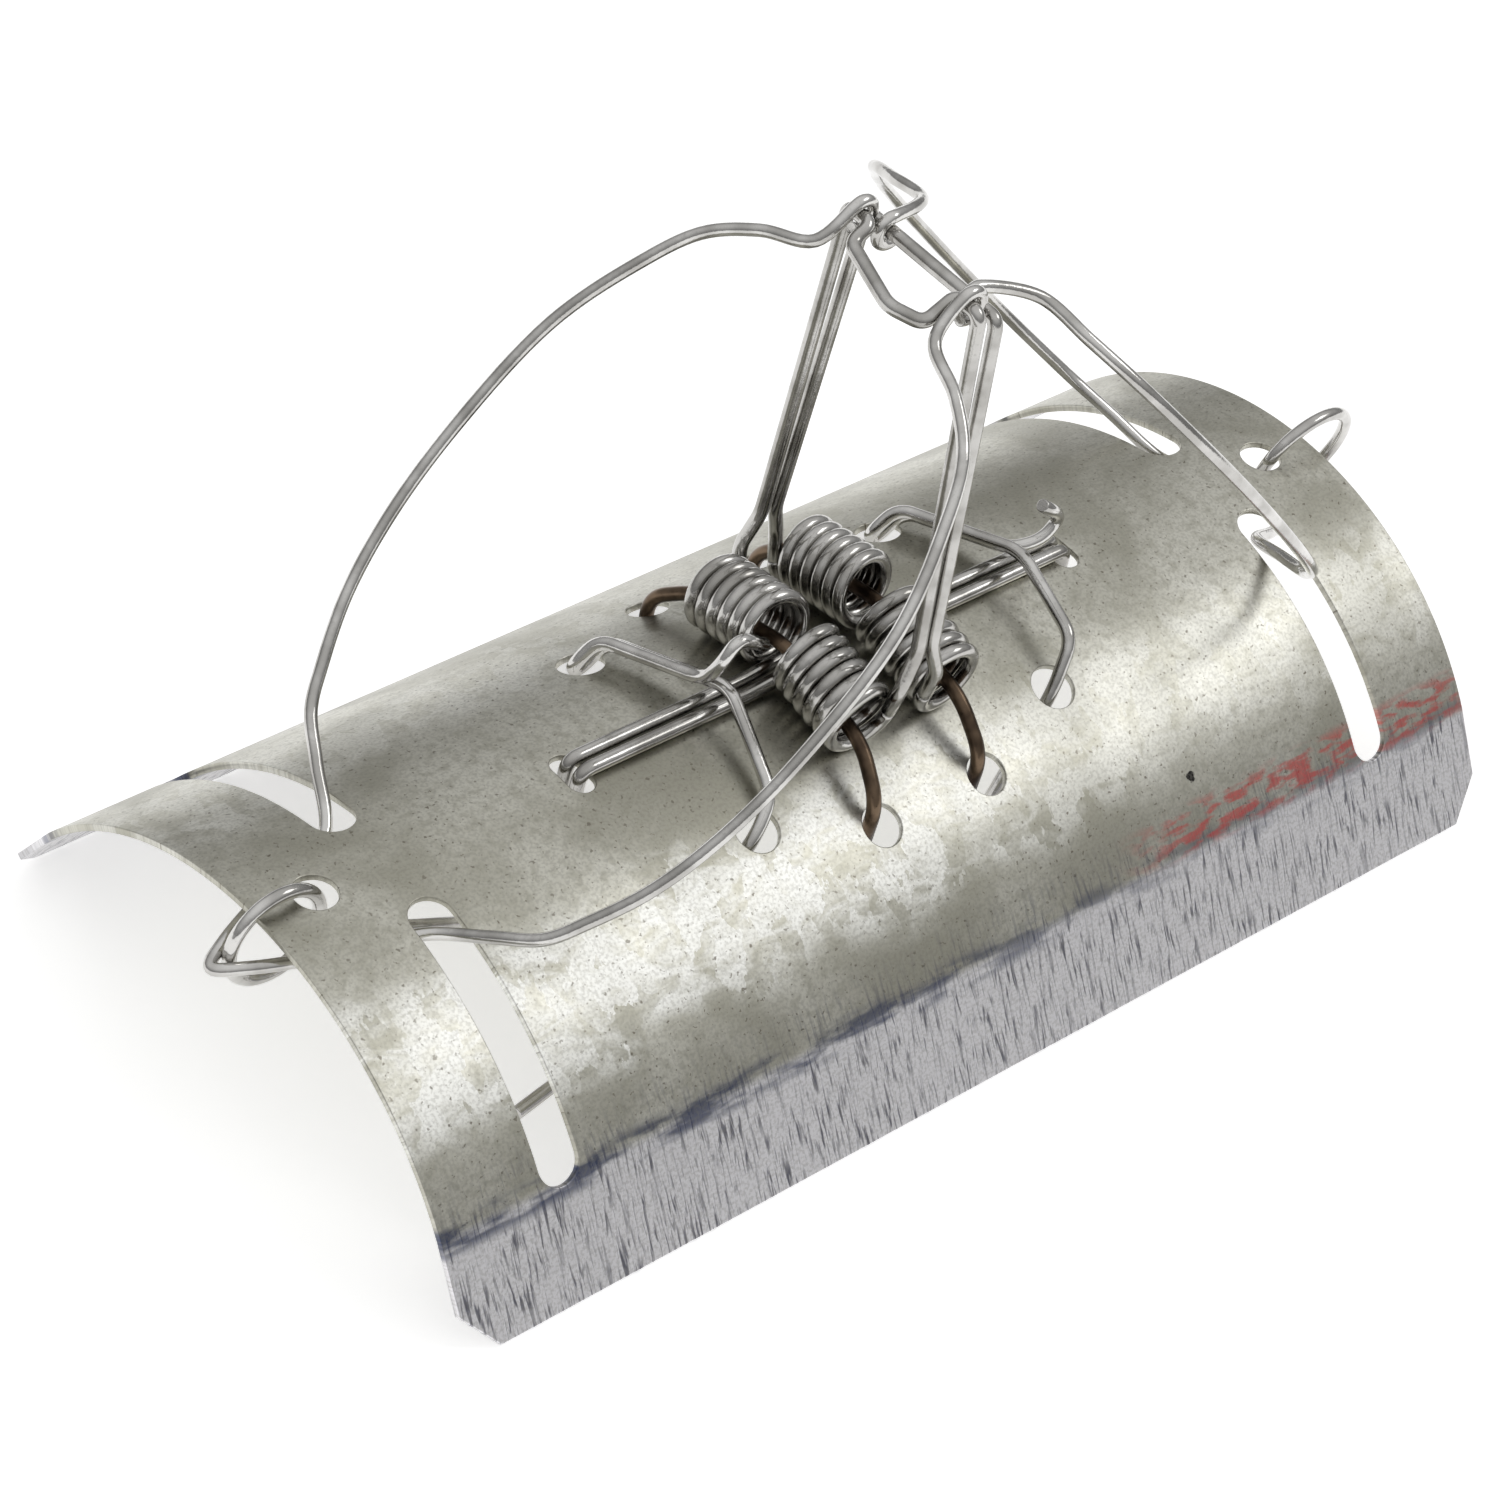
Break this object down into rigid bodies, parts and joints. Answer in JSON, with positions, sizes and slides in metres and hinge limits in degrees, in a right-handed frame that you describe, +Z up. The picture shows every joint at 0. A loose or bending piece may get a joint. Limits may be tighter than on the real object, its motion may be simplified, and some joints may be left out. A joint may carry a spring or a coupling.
{
  "type": "half-barrel mole trap",
  "caption": "Curved sheet tunnel with two sprung bails that pull wire hoops up through slots, wire trigger catches and hanging latch bars.",
  "frame": {"origin": "on the ground plane, under the middle of the barrel", "axes": "+X runs along the tunnel towards the right end, +Y to the back, +Z up"},
  "size_m": [0.163, 0.079, 0.0839],
  "materials": {
    "galvanised_sheet": "galvanised sheet, glossy, cloudy and lightly scratched",
    "spring_wire": "bright zinc-plated spring steel wire",
    "zinc_wire": "bright zinc-plated mild steel wire",
    "dark_wire": "dark oiled steel wire"
  },
  "bodies": {
    "barrel": {"barrel": "galvanised_sheet", "left_front_coil": "spring_wire", "left_front_anchor_leg": "spring_wire", "left_back_coil": "spring_wire", "left_back_anchor_leg": "spring_wire", "left_axle": "dark_wire", "right_front_coil": "spring_wire", "right_front_anchor_leg": "spring_wire", "right_back_coil": "spring_wire", "right_back_anchor_leg": "spring_wire", "right_axle": "dark_wire"},
    "left_bail": {"left_bail": "spring_wire"},
    "left_loop": {"left_loop": "zinc_wire"},
    "left_catch": {"left_catch": "zinc_wire"},
    "left_latch_bar": {"left_latch_bar": "zinc_wire"},
    "right_bail": {"right_bail": "spring_wire"},
    "right_loop": {"right_loop": "zinc_wire"},
    "right_catch": {"right_catch": "zinc_wire"},
    "right_latch_bar": {"right_latch_bar": "zinc_wire"}
  },
  "joints": [
    {"name": "left_bail_set", "type": "hinge", "parent": "barrel", "child": "left_bail", "pos_m": [-0.0063, 0, 0.0314], "axis": [0, -1, 0], "range_deg": [0, 84], "stiffness_Nm_per_rad": 0.88, "springref_deg": -11.46, "deforming": ["left_front_coil", "left_back_coil"]},
    {"name": "right_bail_set", "type": "hinge", "parent": "barrel", "child": "right_bail", "pos_m": [0.0063, 0, 0.0314], "axis": [0, 1, 0], "range_deg": [0, 84], "stiffness_Nm_per_rad": 0.88, "springref_deg": -11.46, "deforming": ["right_front_coil", "right_back_coil"]},
    {"name": "left_loop_swing", "type": "hinge", "parent": "left_bail", "child": "left_loop", "pos_m": [-0.0026, 0, 0.0816], "axis": [0, -1, 0], "range_deg": [-41, 0]},
    {"name": "right_loop_swing", "type": "hinge", "parent": "right_bail", "child": "right_loop", "pos_m": [0.0003, 0, 0.0799], "axis": [0, 1, 0], "range_deg": [-41, 0]},
    {"name": "left_catch_tip", "type": "hinge", "parent": "barrel", "child": "left_catch", "pos_m": [-0.0215, 0, 0.0243], "axis": [0, -1, 0], "range_deg": [0, 70]},
    {"name": "right_catch_tip", "type": "hinge", "parent": "barrel", "child": "right_catch", "pos_m": [0.0215, 0, 0.0243], "axis": [0, 1, 0], "range_deg": [-70, 0]},
    {"name": "left_latch_swing", "type": "hinge", "parent": "barrel", "child": "left_latch_bar", "pos_m": [-0.0724, 0, 0.0237], "axis": [0, 1, 0], "range_deg": [-20, 125]},
    {"name": "right_latch_swing", "type": "hinge", "parent": "barrel", "child": "right_latch_bar", "pos_m": [0.0749, -0.0006, 0.0251], "axis": [0, -0.9833, -0.1822], "range_deg": [-20, 60]}
  ],
  "couplings": [
    {"joint": "left_loop_swing", "follows": "left_bail_set", "ratio": -0.48},
    {"joint": "right_loop_swing", "follows": "right_bail_set", "ratio": -0.48}
  ]
}
